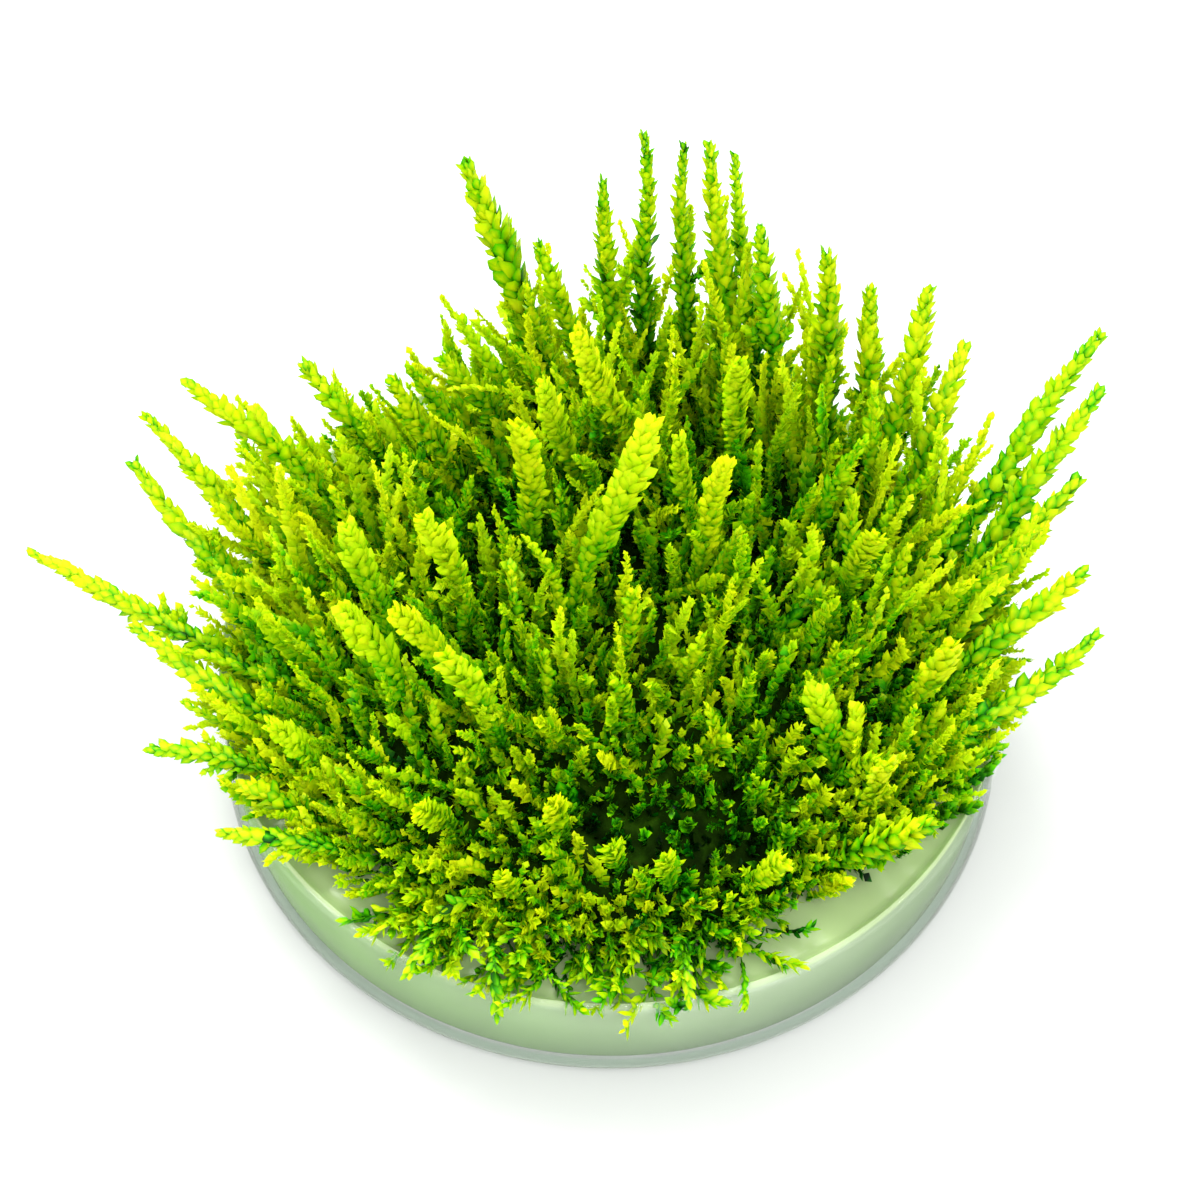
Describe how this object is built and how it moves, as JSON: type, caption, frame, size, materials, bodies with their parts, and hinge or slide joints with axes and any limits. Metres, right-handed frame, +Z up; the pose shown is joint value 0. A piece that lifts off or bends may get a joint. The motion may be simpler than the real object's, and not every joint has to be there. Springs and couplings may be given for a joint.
{
  "type": "moss clump in a culture dish",
  "caption": "Clump of aquatic moss with upright and leaning leafy shoots, growing on nutrient gel in a shallow round clear dish.",
  "frame": {"origin": "centre of the dish's flat underside, where it rests", "axes": "+Z up; -Y is the front, where short sprigs hang over the rim; +Y is the back, where the shoots are tallest"},
  "size_m": [0.1344, 0.1017, 0.0621],
  "materials": {
    "dish": "clear, smooth moulded",
    "gel": "milky, wet, translucent",
    "mat": "tangled wet stems",
    "leaf": "moist translucent leaves"
  },
  "bodies": {
    "root": {"dish": "dish", "gel": "gel", "moss_mat": "mat", "left_shoot_1": "leaf", "left_shoot_2": "leaf", "left_shoot_3": "leaf", "left_shoot_4": "leaf", "left_shoot_5": "leaf", "left_shoot_6": "leaf", "left_shoot_7": "leaf", "left_shoot_8": "leaf", "back_left_shoot_1": "leaf", "back_left_shoot_2": "leaf", "back_left_shoot_3": "leaf", "back_shoot_1": "leaf", "back_shoot_2": "leaf", "back_shoot_3": "leaf", "back_shoot_4": "leaf", "back_shoot_5": "leaf", "back_shoot_6": "leaf", "back_shoot_7": "leaf", "back_shoot_8": "leaf", "back_shoot_9": "leaf", "back_right_shoot_1": "leaf", "back_right_shoot_2": "leaf", "back_right_shoot_3": "leaf", "right_shoot_1": "leaf", "right_shoot_2": "leaf", "right_shoot_3": "leaf", "right_shoot_4": "leaf", "right_shoot_5": "leaf", "right_shoot_6": "leaf", "heart_shoot_1": "leaf", "heart_shoot_2": "leaf", "heart_shoot_3": "leaf", "heart_shoot_4": "leaf", "heart_shoot_5": "leaf", "heart_shoot_6": "leaf", "heart_shoot_7": "leaf", "heart_shoot_8": "leaf", "heart_shoot_9": "leaf", "heart_shoot_10": "leaf", "heart_shoot_11": "leaf", "heart_shoot_12": "leaf", "heart_shoot_13": "leaf", "heart_shoot_14": "leaf", "heart_shoot_15": "leaf", "heart_shoot_16": "leaf", "front_shoot_1": "leaf", "front_shoot_2": "leaf", "front_shoot_3": "leaf", "front_shoot_4": "leaf", "front_shoot_5": "leaf", "front_shoot_6": "leaf", "front_shoot_7": "leaf", "front_shoot_8": "leaf", "front_shoot_9": "leaf", "front_shoot_10": "leaf"}
  },
  "joints": []
}
